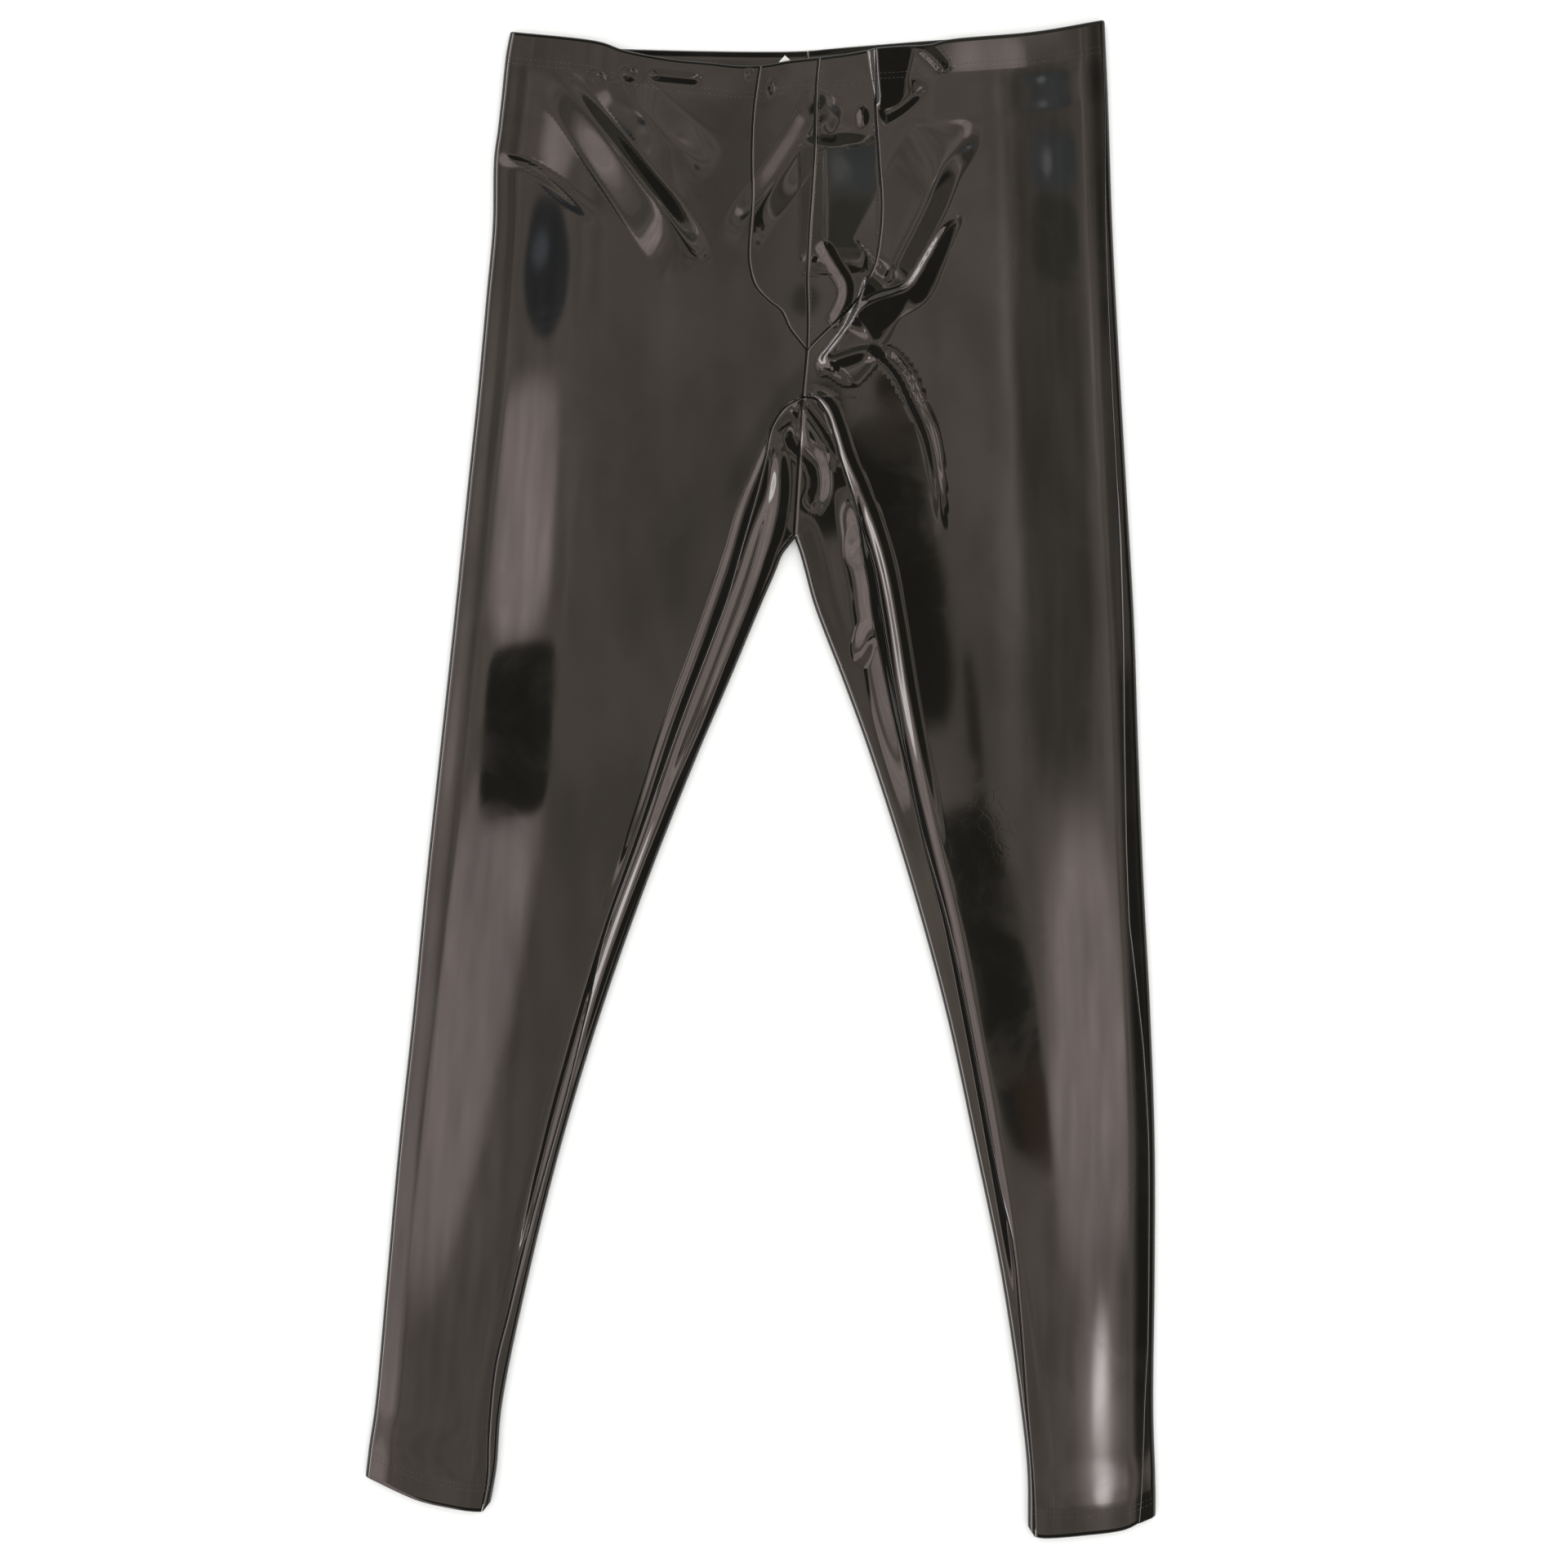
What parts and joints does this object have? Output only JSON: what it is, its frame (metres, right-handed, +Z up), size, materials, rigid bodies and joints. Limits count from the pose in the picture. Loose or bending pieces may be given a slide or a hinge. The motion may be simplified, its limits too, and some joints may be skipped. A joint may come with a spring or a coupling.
{
  "type": "wet-look leggings with pouch front, laid flat",
  "caption": "Glossy stretch leggings lying flat, front up: slim tapered legs, turned-in elastic waist and ankle hems, seamed pouch front, creases at the crotch.",
  "frame": {"origin": "middle of the footprint, on the floor that the leggings lie on", "axes": "+Z up from the floor, +Y from the ankles towards the waist, +X towards the wearer's left leg"},
  "size_m": [0.5312, 1.0204, 0.0123],
  "materials": {
    "vinyl": "black-brown patent-coated stretch knit, wet-look gloss",
    "label": "plain white woven satin, blank"
  },
  "bodies": {
    "root": {"front_panel_right": "vinyl", "front_panel_left": "vinyl", "back_panel_right": "vinyl", "back_panel_left": "vinyl", "pouch_right": "vinyl", "pouch_left": "vinyl", "waist_label": "label"}
  },
  "joints": []
}
